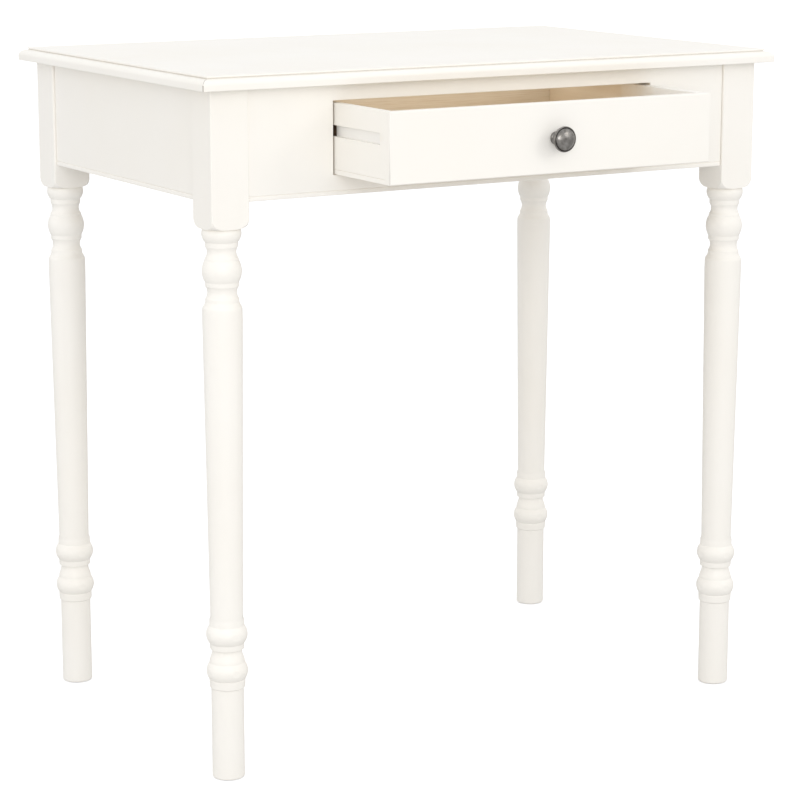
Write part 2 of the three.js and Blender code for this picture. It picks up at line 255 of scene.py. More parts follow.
def refinish(node, material, pick):
    """Gives one more material to the faces whose middle, in millimetres, and normal pass pick."""
    mesh = bpy.data.objects[f"{node}_fine"].data
    mesh.materials.append(material)
    for face in mesh.polygons:
        if pick(face.center / MM, face.normal):
            face.material_index = len(mesh.materials) - 1


# ---------------------------------------------------------------- materials
class Graph:
    """A material's node tree, built up one node at a time."""

    def __init__(self, name):
        self.material = bpy.data.materials.new(name)
        self.material.use_nodes = True
        self.tree = self.material.node_tree
        self.shader = self.tree.nodes["Principled BSDF"]

    def join(self, made, inputs):
        for key, value in inputs.items():
            if isinstance(value, bpy.types.NodeSocket):
                self.tree.links.new(value, made.inputs[key])
            else:
                made.inputs[key].default_value = value

    def add(self, kind, inputs, **settings):
        made = self.tree.nodes.new(f"ShaderNode{kind}")
        for key, value in settings.items():
            setattr(made, key, value)
        self.join(made, inputs)
        return made.outputs[0]

    def place(self, grain, stretch):
        """Object coordinates, drawn out along the grain axis."""
        place = self.tree.nodes.new("ShaderNodeTexCoord").outputs["Object"]
        scale = [1.0, 1.0, 1.0]
        scale[grain] = 1 / stretch
        return self.add("Mapping", {"Vector": place, "Scale": scale})

    def behind(self):
        """How far back a point lies, along Y, in metres."""
        split = self.tree.nodes.new("ShaderNodeSeparateXYZ")
        self.join(split, {"Vector": self.place(1, 1)})
        return split.outputs["Y"]

    def noise(self, place, size, detail=2.0, roughness=0.5, distortion=0.0):
        """Noise whose features are about `size` millimetres across."""
        inputs = {
            "Vector": place,
            "Scale": 1 / (size * MM),
            "Detail": detail,
            "Roughness": roughness,
            "Distortion": distortion,
        }
        return self.add("TexNoise", inputs)

    def spread(self, value, low, high, start=0.3, end=0.7):
        """Maps a value between start and end to the range between low and high."""
        inputs = {"Value": value, "From Min": start, "From Max": end, "To Min": low, "To Max": high}
        return self.add("MapRange", inputs)

    def ramp(self, value, stops):
        """Colours by position along a value from 0 to 1."""
        made = self.tree.nodes.new("ShaderNodeValToRGB")
        self.join(made, {"Fac": value})
        colours = made.color_ramp.elements
        for index, (position, colour) in enumerate(stops):
            stop = colours[index] if index < 2 else colours.new(position)
            stop.position = position
            stop.color = (*colour, 1)
        return made.outputs["Color"]

    def tint(self, first, second, blend_type="MULTIPLY", amount=1.0):
        made = self.tree.nodes.new("ShaderNodeMix")
        made.data_type = "RGBA"
        made.blend_type = blend_type
        self.join(made, {"Factor": amount, 6: first, 7: second})
        return made.outputs[2]

    def shelter(self, distance, samples=8):
        """1 in the open, falling to 0 in corners narrower than the distance."""
        made = self.tree.nodes.new("ShaderNodeAmbientOcclusion")
        made.samples = samples
        self.join(made, {"Distance": distance * MM})
        return made.outputs["AO"]

    def bump(self, height, depth, strength, under=None):
        inputs = {"Height": height, "Distance": depth * MM, "Strength": strength}
        if under is not None:
            inputs["Normal"] = under
        return self.add("Bump", inputs)

    def done(self, **inputs):
        self.join(self.shader, {key.replace("_", " "): value for key, value in inputs.items()})
        return self.material


def paint(name, grain):
    """Satin cream paint, sprayed over close-grained wood, with painted shade darkening its creases
    and corners.
    """
    graph = Graph(name)
    along = graph.place(grain, 24)
    even = graph.place(grain, 1)
    cloud = graph.noise(even, 160, detail=3)
    tone = graph.ramp(cloud, [(0.3, (0.93, 0.895, 0.83)), (0.7, (0.945, 0.915, 0.86))])
    # painted shade: the colour darkens in creases and corners narrower than 3.5 mm
    corner = graph.ramp(
        graph.shelter(3.5),
        [(0.1, (0.82, 0.815, 0.8)), (0.75, (1, 1, 1)), (0.35, (0.93, 0.92, 0.9))],
    )
    grain_lines = graph.noise(along, 2.2, detail=4, roughness=0.6)
    peel = graph.noise(even, 1.6, detail=1)
    fine = graph.bump(peel, 0.05, 0.2)
    relief = graph.bump(grain_lines, 0.06, 0.3, under=fine)
    gloss = graph.spread(graph.noise(even, 22, detail=3), 0.4, 0.5)
    return graph.done(
        Base_Color=graph.tint(tone, corner), Roughness=gloss, Normal=relief, Specular_IOR_Level=0.4
    )


def raw_wood(name, grain):
    """Pale hardwood with a fine figure and open pores."""
    graph = Graph(name)
    along = graph.place(grain, 18)
    figure = graph.noise(along, 26, detail=3, roughness=0.55, distortion=1.2)
    tone = graph.ramp(
        figure,
        [(0.3, (0.81, 0.715, 0.58)), (0.72, (0.875, 0.80, 0.69)), (0.5, (0.85, 0.765, 0.64))],
    )
    pores = graph.noise(graph.place(grain, 40), 1.1, detail=2, roughness=0.7)
    flecks = graph.ramp(pores, [(0.34, (0.92, 0.89, 0.85)), (0.52, (1, 1, 1))])
    relief = graph.bump(pores, 0.1, 0.4)
    gloss = graph.spread(pores, 0.74, 0.58)
    return graph.done(Base_Color=graph.tint(tone, flecks), Roughness=gloss, Normal=relief)


# Where the paint thins out and where it ends, in metres behind the drawer front's inner face, and
# how far noise moves both. The change from pale paint to tan raw wood lies where the case's shade
# begins at rest, so it is partly painted shade.
OVERSPRAY_AND_SHADE = {"start": 0.105, "end": 0.18, "waver": 0.05}
# The groove's painted shadow begins here, where the apron's edge shades the groove at rest.
GROOVE_SHADOW_START = 0.117  # metres behind the drawer front's face
GROOVE_SHADOW_EDGE = 0.001  # metres over which the painted shadow sets in


def overspray_and_painted_shade():
    """The inner face of a drawer side: raw wood with paint drifted over it near the front, and
    partly painted shade, pale where light falls at rest and tan where the case shades it.
    """
    graph = Graph("look_overspray")
    front = span("drawer_front")[1].y * MM
    drift = graph.noise(graph.place(1, 1), 30, detail=4, roughness=0.6)
    back = graph.behind()
    inputs = {0: drift, 1: OVERSPRAY_AND_SHADE["waver"], 2: back}
    waver = graph.add("Math", inputs, operation="MULTIPLY_ADD")
    start, end = front + OVERSPRAY_AND_SHADE["start"], front + OVERSPRAY_AND_SHADE["end"]
    # partly painted shade: 1 where the side is tan raw wood inside the case's shade at rest, 0 where
    # it is pale paint in the light
    bare_and_shaded = graph.spread(waver, 0.0, 1.0, start, end)
    figure = graph.noise(graph.place(1, 18), 26, detail=3, roughness=0.55, distortion=1.2)
    wood = graph.ramp(figure, [(0.3, (0.76, 0.63, 0.47)), (0.7, (0.82, 0.71, 0.56))])
    tone = graph.tint((0.95, 0.94, 0.91, 1), wood, "MIX", bare_and_shaded)
    relief = graph.bump(graph.noise(graph.place(1, 24), 2.2, detail=4), 0.06, 0.35)
    return graph.done(Base_Color=tone, Roughness=graph.spread(bare_and_shaded, 0.48, 0.66, 0, 1), Normal=relief)


def painted_shadow():
    """The groove in a drawer side: painted near the front, and behind that a dark brown painted
    shadow where the apron's edge shades the groove at rest.
    """
    graph = Graph("look_waxed_groove")
    start = span("drawer_front")[0].y * MM + GROOVE_SHADOW_START
    # painted shadow: 1 behind the line where the apron's edge shades the groove at rest
    shadowed = graph.spread(graph.behind(), 0.0, 1.0, start, start + GROOVE_SHADOW_EDGE)
    streaks = graph.noise(graph.place(1, 18), 4, detail=3)
    shadow_tone = graph.ramp(streaks, [(0.3, (0.11, 0.07, 0.045)), (0.7, (0.17, 0.115, 0.075))])
    tone = graph.tint((0.9, 0.88, 0.84, 1), shadow_tone, "MIX", shadowed)
    relief = graph.bump(streaks, 0.05, 0.3)
    return graph.done(Base_Color=tone, Roughness=graph.spread(shadowed, 0.5, 0.4, 0, 1), Normal=relief)


def open_joint():
    """The sawn ends inside a mitre that has opened: bare wood, dark with glue and dust."""
    if "open_joint" not in made_materials:
        graph = Graph("look_open_joint")
        dust = graph.noise(graph.place(2, 1), 3, detail=3)
        tone = graph.ramp(dust, [(0.3, (0.2, 0.165, 0.13)), (0.7, (0.32, 0.27, 0.21))])
        relief = graph.bump(dust, 0.1, 0.4)
        made_materials["open_joint"] = graph.done(Base_Color=tone, Roughness=0.8, Normal=relief)
    return made_materials["open_joint"]


def pewter(name, grain):
    """Aged pewter: bright where it is rubbed, dark in the recesses."""
    graph = Graph(name)
    even = graph.place(grain, 1)
    mottle = graph.noise(even, 5, detail=4, roughness=0.65)
    tone = graph.ramp(mottle, [(0.3, (0.16, 0.148, 0.135)), (0.72, (0.35, 0.335, 0.315))])
    recess = graph.ramp(graph.shelter(4), [(0.3, (0.22, 0.19, 0.16)), (0.9, (1, 1, 1))])
    scuffs = graph.noise(even, 0.7, detail=3, roughness=0.7)
    relief = graph.bump(scuffs, 0.03, 0.3)
    gloss = graph.spread(mottle, 0.26, 0.34)
    return graph.done(
        Base_Color=graph.tint(tone, recess), Roughness=gloss, Normal=relief, Metallic=1.0
    )


def zinc(name, grain):
    """Zinc-plated steel with a faint spangle."""
    graph = Graph(name)
    even = graph.place(grain, 1)
    spangle = graph.noise(even, 3, detail=2, roughness=0.6)
    tone = graph.ramp(spangle, [(0.35, (0.52, 0.53, 0.55)), (0.65, (0.68, 0.68, 0.67))])
    gloss = graph.spread(spangle, 0.26, 0.4)
    relief = graph.bump(graph.noise(even, 0.5, detail=2), 0.015, 0.3)
    return graph.done(Base_Color=tone, Roughness=gloss, Normal=relief, Metallic=1.0)


def nylon(name, grain):
    """Off-white moulded nylon, scuffed dull."""
    graph = Graph(name)
    even = graph.place(grain, 1)
    scuffs = graph.noise(even, 4, detail=4, roughness=0.7)
    tone = graph.ramp(scuffs, [(0.3, (0.74, 0.71, 0.65)), (0.6, (0.84, 0.82, 0.77))])
    gloss = graph.spread(scuffs, 0.62, 0.48)
    relief = graph.bump(graph.noise(even, 0.6, detail=1), 0.03, 0.3)
    return graph.done(Base_Color=tone, Roughness=gloss, Normal=relief)


MAKERS = {
    "cream_paint": paint,
    "raw_wood": raw_wood,
    "pewter": pewter,
    "steel_hardware": zinc,
    "nylon": nylon,
}
made_materials = {}


def material_for(slot, grain):
    """The slot's material with its grain along an axis, made once for each."""
    key = f"{slot}_{'xyz'[grain]}"
    if key not in made_materials:
        made_materials[key] = MAKERS[slot](f"look_{key}", grain)
    return made_materials[key]


# ---------------------------------------------------------------- worktop
EDGE_WIDTH = span("top_edge_front")[1].y - span("top_edge_front")[0].y
EDGE_TOP = span("top_edge_front")[1].z - FRAME_TOP
UPRIGHT = 6  # top of the upright part of the edge
FOOT_ROUND = 0.8
MITRE_EASE = 0.2
MITRE_GAP = 0.35  # how far each end stays short of the mitre line
QUIRK = {"height": 1.1, "depth": 1}  # the shadow line between the moulding and the panel's edge
PANEL_EASE = 0.6


def edge_section():
    """The moulding's section as [distance out, height], from the panel's side outwards."""
    foot = arc((EDGE_WIDTH - FOOT_ROUND, FOOT_ROUND), (FOOT_ROUND,) * 2, -90, 0, 4)
    crown = arc((0, UPRIGHT), (EDGE_WIDTH, EDGE_TOP - UPRIGHT), 0, 90, 18)
    return [(0, 0), *foot, *crown]


def inset(section, amount):
    """The section with its faces moved inwards, but for the side that lies against the panel."""
    (inner, foot), (_, head) = section[0], section[-1]
    moved = [(inner, foot + amount)]
    for before, here, after in zip(section, section[1:], section[2:]):
        across, up = after[0] - before[0], after[1] - before[1]
        length = math.hypot(across, up)
        moved.append((here[0] - amount * up / length, here[1] + amount * across / length))
    moved.append((inner, head - amount))
    return moved


def sawn_end(middle, normal):
    """Whether a moulding's face is one of its mitred ends, which stand at 45 degrees."""
    return abs(normal.z) < 0.1 and 0.6 < abs(normal.x) < 0.8


def moulding(name, length, reach):
    """The front side of the mitred moulding, with its face at reach in front of the middle."""
    section = edge_section()
    eased = inset(section, MITRE_EASE)
    rings = []
    for sign, pull, points in [(-1, 0, eased), (-1, 1, section), (1, 1, section), (1, 0, eased)]:
        ring = []
        for (out, _), (eased_out, up) in zip(section, points):
            end = length / 2 - EDGE_WIDTH + out - MITRE_GAP - pull * MITRE_EASE
            ring.append((sign * end, -reach + EDGE_WIDTH - eased_out, FRAME_TOP + up))
        rings.append(ring)
    sides = len(section)
    vertices = [point for ring in rings for point in ring]
    faces = [tuple(reversed(face)) for face in ring_faces(len(rings), sides, False)]
    last = (len(rings) - 1) * sides
    faces.append(tuple(range(sides)))
    faces.append(tuple(reversed(range(last, last + sides))))
    return new_piece(name, vertices, faces)


def top_edge(node, length, reach, turn):
    """One side of the moulding, made as the front one and turned round the worktop."""
    piece = moulding(f"{node}_fine", length, reach)
    move(piece, Matrix.Translation((0, MIDDLE_Y * MM, 0)) @ quarter_turns(turn))
    finish(piece, node)
    refinish(node, open_joint(), sawn_end)


def quirk_cutter():
    """A frame round the panel that cuts a narrow shadow line just above the moulding."""
    low, high = span("top_panel")
    foot = FRAME_TOP + EDGE_TOP
    head = foot + QUIRK["height"]
    depth = QUIRK["depth"]
    cutter = box("quirk", (low.x - 1, low.y - 1, foot), (high.x + 1, high.y + 1, head))
    core = box(
        "core",
        (low.x + depth, low.y + depth, foot - 1),
        (high.x - depth, high.y - depth, head + 1),
    )
    return combine(cutter, core)


def add_worktop():
    """The panel, and the moulding's four sides round it."""
    panel = ease(board_from("top_panel"), PANEL_EASE, lambda middle: middle.z > FRAME_TOP + 1)
    finish(combine(panel, quirk_cutter()), "top_panel")
    low = span("top_edge_front")[0]
    width = -2 * low.x
    depth = 2 * (MIDDLE_Y - low.y)
    for turn, side in enumerate(("front", "right", "back", "left")):
        along, across = (depth, width) if turn % 2 else (width, depth)
        top_edge(f"top_edge_{side}", along, across / 2, turn)


# ---------------------------------------------------------------- legs
# The rounded shoulders that the turning leaves at the foot of the square post.
SHOULDER = {"foot": 601.5, "rise": 15, "spread": 9.4, "steps": 16}
FULLNESS = 0.8  # below 1, a swell is rounder than a sine wave
GLIDE_TOP = span("glide_front_left")[1].z
POST_EASE = 1.3
CRISP = math.cos(math.radians(22))  # corners of a profile sharper than this are softened


def swell(start, bulge, end, steps=20):
    """A bead, bulb or cove between two [radius, height] ends, as half a sine wave.

    It stands out from the line between them, or sinks into it where bulge is below zero.
    """
    points = []
    for i in range(steps + 1):
        share = i / steps
        radius, height = Vector(start).lerp(Vector(end), share)
        rise = bulge * max(math.sin(math.pi * share), 0) ** FULLNESS
        points.append((radius + rise, height))
    return points


def flare(start, end, steps=16):
    """An S curve between two [radius, height] ends, upright at both."""
    points = []
    for i in range(steps + 1):
        share = i / steps
        radius = start[0] + (end[0] - start[0]) * (1 - math.cos(math.pi * share)) / 2
        points.append((radius, start[1] + (end[1] - start[1]) * share))
    return points


def soften(profile, cut=0.45, limit=0.45, steps=3):
    """Rounds a profile's sharp corners a little, as coats of paint do.

    The rounding takes up to cut millimetres of each side, and no more than its share limit.
    """
    points = [profile[0]]
    for before, here, after in zip(profile, profile[1:], profile[2:]):
        corner = Vector(here)
        back, on = Vector(before) - corner, Vector(after) - corner
        if back.normalized().dot(on.normalized()) < -CRISP:
            points.append(here)
            continue
        start = corner + back * min(cut / back.length, limit)
        end = corner + on * min(cut / on.length, limit)
        for i in range(steps + 1):
            share = i / steps
            points.append(tuple(start.lerp(corner, share).lerp(corner.lerp(end, share), share)))
    points.append(profile[-1])
    return points


TURNING = [  # [radius, height]: out under the foot round the glide, then up to the post
    (14.4, GLIDE_TOP),
    (14.4, 0.7),
    (16.4, 0.6),
    (17.3, 1.2),
    (17.6, 2.4),
    (17.6, 101.6),
    (19.2, 102.6),
    (19.5, 110.8),
    *swell((19.1, 111.2), 3.2, (19.3, 129.8)),
    *flare((19.1, 130.4), (16.1, 143.6)),
    (16.4, 145),
    (18.4, 145.4),
    (18.6, 151.2),
    *swell((18.6, 151.6), 3.7, (18.8, 171.2)),
    (18.8, 177.6),
    (17.6, 181),
    (19.5, 343),
    (21.4, 505),
    (21.3, 514),
    *flare((21.2, 516), (18, 524.2)),
    (17.9, 527.2),
    *swell((17.4, 527.8), -1.7, (17.4, 539.6)),
    (17.9, 540.2),
    (18, 544.6),
    *swell((18.1, 545), 3.1, (18, 567.6)),
    (17.8, 570),
    *swell((17.4, 570.4), -1.7, (16.9, 581.4)),
    (17.2, 581.8),
    (17.5, 587.2),
    *swell((18, 587.6), 2.2, (19.6, SHOULDER["foot"])),
]


def leg_profile():
    """The turned length of a leg, from the foot up into the square post."""
    reach = POST / math.sqrt(2) + 1
    neck = SHOULDER["foot"]
    scoop = arc(
        (POST / 2, neck + SHOULDER["rise"]),
        (SHOULDER["spread"], SHOULDER["rise"]),
        -90,
        0,
        SHOULDER["steps"],
    )
    return [*soften(TURNING), *scoop, (reach, FRAME_TOP + 1)]


def corner_place(corner, turn):
    """Takes the front left leg's own frame to a corner of the desk."""
    axis = leg_axis(corner)
    return Matrix.Translation((axis.x * MM, axis.y * MM, 0)) @ quarter_turns(turn)


def add_legs():
    """One leg, turned and cut to the square post, then copied to each corner."""
    half = POST / 2
    blank = turned("leg_blank", leg_profile())
    stock = box("leg_stock", (-half, -half, 0), (half, half, FRAME_TOP))
    ease(stock, POST_EASE, lambda middle: 1 < middle.z < FRAME_TOP - 1, steps=4)
    combine(blank, stock, "INTERSECT")
    for turn, corner in enumerate(CORNERS):
        node = f"leg_{corner}"
        piece = bpy.data.objects.new(f"{node}_fine", blank.data.copy())
        bpy.context.scene.collection.objects.link(piece)
        move(piece, corner_place(corner, turn))
        finish(piece, node)
    bpy.data.objects.remove(blank)


GLIDE_PROFILE = [(12.4, 0), (13.5, 0.2), (14, 0.8), (14, GLIDE_TOP)]


def add_glides():
    for turn, corner in enumerate(CORNERS):
        node = f"glide_{corner}"
        piece = turned(f"{node}_fine", GLIDE_PROFILE)
        move(piece, corner_place(corner, turn))
        finish(piece, node, grain=2)


# ---------------------------------------------------------------- boards
BEAD = {"height": 5, "width": 1.2, "depth": 0.7}
APRON_EASE = 0.8
PLAIN_BOARDS = {  # how far each board's edges are rounded
    "top_cleat_left": 1.0,
    "top_cleat_right": 1.0,
    "corner_block_front_left": 1.0,
    "corner_block_front_right": 1.0,
    "corner_block_back_left": 1.0,
    "corner_block_back_right": 1.0,
    "drawer_guide_left": 0.6,
    "drawer_guide_right": 0.6,
    "drawer_runner_left": 0.8,
    "drawer_runner_right": 0.8,
    "drawer_stop_bar": 0.8,
    "drawer_back": 0.5,
    "drawer_bottom": 0.3,
    "drawer_stop_block": 0.8,
    "drawer_side_left": 0.6,
    "drawer_side_right": 0.6,
}


def bead_cutter(low, high, axis, face):
    """A V-shaped bar that lies along an apron's outer face, just above its lower edge."""
    up = low.z + BEAD["height"]
    half = BEAD["width"] / 2
    out = -1 if face < (low + high)[1 - axis] / 2 else 1
    mouth = half * 2.4  # half the bar's width where it is thickest, outside the apron
    section = [(face - out * BEAD["depth"], up), (face + out, up - mouth), (face + out, up + mouth)]
    vertices = []
    for end in (low[axis] - 1, high[axis] + 1):
        for across, height in section:
            point = [0, 0, height]
            point[axis] = end
            point[1 - axis] = across
            vertices.append(point)
    faces = [(0, 1, 2), (3, 5, 4), (0, 3, 4, 1), (1, 4, 5, 2), (2, 5, 3, 0)]
    cutter = new_piece("bead_cutter", vertices, faces)
    edit(cutter, lambda body: bmesh.ops.recalc_face_normals(body, faces=body.faces))
    return cutter


def bare_opening():
    """The drawer's opening through the front apron is raw wood inside."""
    low, high = span("drawer_front")

    def wall(middle, normal):
        inside = abs(middle.x) < high.x + 2 and low.z - 2 < middle.z < high.z + 3
        return inside and abs(normal.y) < 0.3

    refinish("front_apron", material_for("raw_wood", 0), wall)


def add_aprons():
    """Each apron's face carries a scratched bead line above its lower edge."""
    for node, axis, outer in [
        ("front_apron", 0, 0),
        ("back_apron", 0, 1),
        ("left_apron", 1, 0),
        ("right_apron", 1, 1),
    ]:
        low, high = span(node)
        board = ease(board_from(node), APRON_EASE)
        face = (low, high)[outer][1 - axis]
        finish(combine(board, bead_cutter(low, high, axis, face)), node, grain=axis)
    bare_opening()


def add_plain_boards():
    for node, amount in PLAIN_BOARDS.items():
        finish(ease(board_from(node), amount), node)
    painted = material_for("cream_paint", 1)
    refinish("drawer_bottom", painted, lambda middle, normal: abs(normal.x) > 0.7)
    add_side_finishes()


SIDE_THICKNESS = span("drawer_side_left")[1].x - span("drawer_side_left")[0].x


def add_side_finishes():
    """The drawer sides' inner faces and grooves look different from their painted outsides."""
    inside = span("drawer_back")[1].x
    runner_foot, runner_head = span("drawer_runner_left")
    inner_look, groove_look = overspray_and_painted_shade(), painted_shadow()

    def inner_face(middle, normal):
        return abs(middle.x) < inside + 1

    def groove(middle, normal):
        level = runner_foot.z - 1 < middle.z < runner_head.z + 1
        flush = abs(middle.x) > inside + SIDE_THICKNESS - 1
        return level and inside + 2 < abs(middle.x) and abs(normal.y) < 0.5 and not flush

    for node in ("drawer_side_left", "drawer_side_right"):
        refinish(node, inner_look, inner_face)
        refinish(node, groove_look, groove)


# ---------------------------------------------------------------- drawer front and knob
FRONT_EASE = {"face": 1.2, "back": 0.4}


def add_drawer_front():
    """A board whose edges are rounded more at its face than behind."""
    front = span("drawer_front")[0].y
    board = board_from("drawer_front")
    ease(board, FRONT_EASE["face"], lambda middle: middle.y < front + 1, steps=4)
    ease(board, FRONT_EASE["back"], lambda middle: middle.y > front + 3)
    finish(board, "drawer_front")


KNOB_PROFILE = [  # [radius, distance from the drawer's face]
    (6.4, 0),
    (6.9, 0.3),
    (7, 0.9),
    (6.8, 1.5),
    (6.1, 1.9),
    (5.2, 2.5),
    (4.5, 3.8),
    (4.2, 6),
    (4.4, 8.4),
    (5.1, 10.4),
    (6.6, 12.1),
    (8.8, 13.3),
    (11.2, 14.3),
    (12.8, 15),
    (13.5, 15.7),
    (13.7, 16.5),
    (13.7, 17.4),
    (13.5, 18),
    (13.1, 18.35),
    (12.7, 18.35),
    (12.4, 18),
    (12.1, 17.75),
    (11.85, 18),
    (11.7, 18.8),
    (11.2, 19.5),
    (10, 20.4),
    (8.2, 21.35),
    (6, 22.15),
    (3.6, 22.7),
    (1.6, 22.95),
    (0.3, 23),
]


def add_knob():
    low, high = span("drawer_knob")
    knob = turned("drawer_knob_fine", KNOB_PROFILE)
    place = Vector((0, high.y, (low.z + high.z) / 2)) * MM
    move(knob, Matrix.Translation(place) @ Matrix.Rotation(math.pi / 2, 4, "X"))
    finish(knob, "drawer_knob", grain=2)


# ---------------------------------------------------------------- fasteners
SLOT = {"half_width": 0.5, "depth": 1.2}
THREAD_STEPS = 6  # rings of points to each turn of a thread
BOLT_TIP = {"length": 0.8, "share": 0.72}
NUT_CORNER = {"share": 0.88, "drop": 0.7}
BORE_LEAD = 0.6
PAST = 0.01  # how far a cutter reaches past the faces it opens


def screw(name, profile, head, recess):
    """A turned screw with a cross recess in its head, whose face is at the height head."""
    piece = turned(name, profile, sides=SCREW_SIDES)
    slot = SLOT["half_width"]
    for wide, deep in ((recess, slot), (slot, recess)):
        cutter = box("recess", (-wide, -deep, head - 1), (wide, deep, head + SLOT["depth"]))
        combine(piece, cutter)
    return piece


def thread(radius, foot, head, pitch=1.0, depth=0.45):
    """Rings of points for a screw thread."""
    steps = round((head - foot) / pitch * THREAD_STEPS)
    rings = []
    for step in range(steps + 1):
        z = foot + (head - foot) * step / steps
        ring = []
        for i in range(SCREW_SIDES):
            phase = (z / pitch - i / SCREW_SIDES) % 1
            ridge = radius - depth * abs(2 * phase - 1)
            angle = 2 * math.pi * i / SCREW_SIDES
            ring.append((ridge * math.cos(angle), ridge * math.sin(angle), z))
        rings.append(ring)
    return rings


def circle(radius, z):
    turns = [2 * math.pi * i / SCREW_SIDES for i in range(SCREW_SIDES)]
    return [(radius * math.cos(a), radius * math.sin(a), z) for a in turns]


def threaded_bolt(name, radius, foot, thread_foot, head):
    """A rod with a screw thread from thread_foot to its chamfered head end."""
    rings = [circle(radius, foot), circle(radius, thread_foot - 1)]
    rings += thread(radius, thread_foot, head - BOLT_TIP["length"])
    rings.append(circle(radius * BOLT_TIP["share"], head))
    faces = ring_faces(len(rings), SCREW_SIDES, False)
    last = (len(rings) - 1) * SCREW_SIDES
    faces.append(tuple(reversed(range(SCREW_SIDES))))
    faces.append(tuple(range(last, last + SCREW_SIDES)))
    return new_piece(name, [point for ring in rings for point in ring], faces)


def hexagon_nut(name, radius, thickness, bore):
    """A hexagon nut with its corners turned off at both faces."""
    nut = turned(name, [(radius, 0), (radius, thickness)], sides=6)
    flat = radius * NUT_CORNER["share"]
    drop = NUT_CORNER["drop"]
    chamfer = [(flat, 0), (radius, drop), (radius, thickness - drop), (flat, thickness)]
    combine(nut, turned("chamfer", chamfer, sides=48), "INTERSECT")
    wide = bore + BORE_LEAD
    hole = [
        (wide, -PAST),
        (bore, BORE_LEAD),
        (bore, thickness - BORE_LEAD),
        (wide, thickness + PAST),
    ]
    combine(nut, turned("bore", hole, sides=SCREW_SIDES))
    return nut


def washer_section(bore, radius, thickness, round_off=0.25):
    """A washer's section, with its four corners cut off."""
    return [
        (bore, thickness - round_off),
        (bore, round_off),
        (bore + round_off, 0),
        (radius - round_off, 0),
        (radius, round_off),
        (radius, thickness - round_off),
        (radius - round_off, thickness),
        (bore + round_off, thickness),
    ]


BOLT = {"radius": 3, "start": 7.2, "thread": 20, "tail": 4}
BLOCK_FAR = 81  # x + y, from the leg axis, on the corner block's inner face
WASHER = {"radius": 8, "thickness": 1.5}
NUT = {"radius": 5.8, "thickness": 5}
LOOSE = 0.3  # gap between neighbours
BOLT_BORE = BOLT["radius"] + LOOSE


def add_corner_piece(piece, node, place, foot=0):
    """Puts a fastener made along Z on its leg's diagonal, with its own zero at foot."""
    up = Matrix.Translation((0, 0, foot * MM))
    finish(move(piece, place @ up), node, grain=2)


def add_bolt(node, place, end):
    thread_foot = end - BOLT["thread"]
    bolt = threaded_bolt(f"{node}_fine", BOLT["radius"], BOLT["start"], thread_foot, end)
    add_corner_piece(bolt, node, place)


def add_washer(node, place, foot):
    section = washer_section(BOLT_BORE, WASHER["radius"], WASHER["thickness"])
    washer = turned(f"{node}_fine", section, sides=64, closed=True)
    add_corner_piece(washer, node, place, foot)


def add_nut(node, place, foot):
    nut = hexagon_nut(f"{node}_fine", NUT["radius"], NUT["thickness"], BOLT_BORE)
    add_corner_piece(nut, node, place, foot)


def add_corner_hardware():
    """A hanger bolt, washer and nut on each leg's inward diagonal."""
    low, high = span("leg_nut_front_left")
    lay = Matrix.Rotation(math.pi / 4, 4, "Z") @ Matrix.Rotation(math.pi / 2, 4, "Y")
    diagonal = Matrix.Translation((0, 0, (low.z + high.z) / 2 * MM)) @ lay
    washer_foot = BLOCK_FAR / math.sqrt(2) + LOOSE
    nut_foot = washer_foot + WASHER["thickness"] + LOOSE
    bolt_end = nut_foot + NUT["thickness"] + BOLT["tail"]
    for turn, corner in enumerate(CORNERS):
        place = corner_place(corner, turn) @ diagonal
        add_bolt(f"leg_bolt_{corner}", place, bolt_end)
        add_washer(f"leg_washer_{corner}", place, washer_foot)
        add_nut(f"leg_nut_{corner}", place, nut_foot)


def pan_screw(node, head_radius, head, radius, length):
    """A pan-head screw that points up Z, with its head's underside at height 0."""
    profile = [
        (head_radius * 0.55, -head),
        (head_radius * 0.78, -head * 0.92),
        (head_radius * 0.93, -head * 0.7),
        (head_radius, -head * 0.3),
        (head_radius, -0.2),
        (head_radius - 0.2, 0),
        (radius, 0),
        (radius, length - 2),
        (radius * 0.3, length),
    ]
    return screw(f"{node}_fine", profile, -head, head_radius * 0.6)


TOP_SCREW = {"head_radius": 4.5, "head": 3, "radius": 2.2}
KNOB_SCREW = {"head_radius": 4.4, "head": 2.4, "radius": 2}
RUNNER_SCREW = [(2.9, 0), (3.2, 0.25), (1.6, 2), (1.6, 12), (0.4, 14)]
RUNNER_RECESS = 1.9  # half the length of the cross in a runner screw's head


def add_top_screw(node):
    """A screw up through a cleat into the top, its head at the lower end."""
    low, high = span(node)
    head = TOP_SCREW["head"]
    length = high.z - low.z - head
    piece = pan_screw(node, TOP_SCREW["head_radius"], head, TOP_SCREW["radius"], length)
    centre = (low + high) / 2
    place = Vector((centre.x, centre.y, low.z + head)) * MM
    finish(move(piece, Matrix.Translation(place)), node, grain=2)


def add_runner_screw(node, outward):
    """A countersunk screw through a runner, pointing outwards: 1 to the right, -1 to the left."""
    low, high = span(node)
    piece = screw(f"{node}_fine", RUNNER_SCREW, 0, RUNNER_RECESS)
    face = low.x if outward > 0 else high.x
    place = Vector((face, (low.y + high.y) / 2, (low.z + high.z) / 2)) * MM
    turn = Matrix.Rotation(outward * math.pi / 2, 4, "Y")
    finish(move(piece, Matrix.Translation(place) @ turn), node, grain=2)


def add_knob_screw():
    """The machine screw through the drawer front into the knob."""
    low, high = span("knob_screw")
    head = KNOB_SCREW["head"]
    length = high.y - low.y - head
    piece = pan_screw("knob_screw", KNOB_SCREW["head_radius"], head, KNOB_SCREW["radius"], length)
    place = Vector((0, high.y - head, (low.z + high.z) / 2)) * MM
    turn = Matrix.Rotation(math.pi / 2, 4, "X")
    finish(move(piece, Matrix.Translation(place) @ turn), "knob_screw", grain=2)


def add_screws():
    for side, outward in (("left", -1), ("right", 1)):
        for index in (1, 2):
            add_top_screw(f"top_screw_{side}_{index}")
            add_runner_screw(f"runner_screw_{side}_{index}", outward)
    add_knob_screw()


